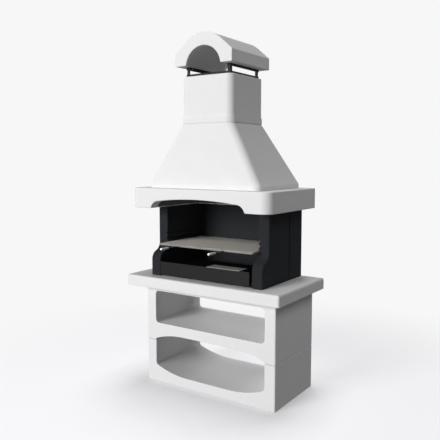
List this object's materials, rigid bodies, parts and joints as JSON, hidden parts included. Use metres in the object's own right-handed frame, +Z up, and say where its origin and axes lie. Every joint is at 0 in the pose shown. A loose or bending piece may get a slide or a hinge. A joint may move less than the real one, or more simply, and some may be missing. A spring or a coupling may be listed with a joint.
{
  "type": "concrete barbecue",
  "caption": "Free-standing concrete barbecue with open plinth blocks, a worktop, a dark firebox with sliding grill and ember tray, and an arched hood with chimney and cap.",
  "frame": {"origin": "on the ground under the middle of the worktop", "axes": "+Z up, +X to the right seen from the front, the front looks along -Y"},
  "size_m": [1.067, 0.648, 2.1013],
  "materials": {
    "white_concrete": "smooth cast white concrete",
    "dark_concrete": "cast refractory concrete, charcoal",
    "mortar": "refractory cement adhesive",
    "black_steel": "black powder coat",
    "screw_steel": "zinc plated",
    "grill_steel": "drawn stainless rod, dulled by heat",
    "grip_steel": "bright drawn tube",
    "tray_steel": "heat-proof black paint",
    "shelf_steel": "mill-finish sheet",
    "grate_iron": "as cast"
  },
  "bodies": {
    "body": {"lower_plinth": "white_concrete", "upper_plinth": "white_concrete", "worktop": "white_concrete", "hood_rim": "white_concrete", "hood": "white_concrete", "chimney": "white_concrete", "chimney_cap": "white_concrete", "hearth_slab": "dark_concrete", "left_side_wall": "dark_concrete", "right_side_wall": "dark_concrete", "firebox_back": "dark_concrete", "plinth_mortar": "mortar", "worktop_mortar": "mortar", "firebox_mortar": "mortar", "wall_seam_mortar": "mortar", "rim_mortar": "mortar", "hood_mortar": "mortar", "chimney_mortar": "mortar", "cap_base_frame": "black_steel", "cap_posts": "black_steel", "cap_top_rails": "black_steel", "base_frame_screws": "screw_steel", "top_rail_screws": "screw_steel"},
    "grill": {"grill_frame": "grill_steel", "grill_bars": "grill_steel", "grill_cross_bars": "grill_steel", "left_handle": "grill_steel", "right_handle": "grill_steel", "left_grip": "grip_steel", "right_grip": "grip_steel"},
    "ember_tray": {"tray_panel": "tray_steel", "tray_pan": "tray_steel", "tray_shelf": "shelf_steel", "ember_grate": "grate_iron"}
  },
  "joints": [
    {"name": "grill_slide", "type": "slide", "parent": "body", "child": "grill", "axis": [0, -1, 0], "range_m": [0, 0.22]},
    {"name": "tray_slide", "type": "slide", "parent": "body", "child": "ember_tray", "axis": [0, -1, 0], "range_m": [0, 0.25]}
  ]
}
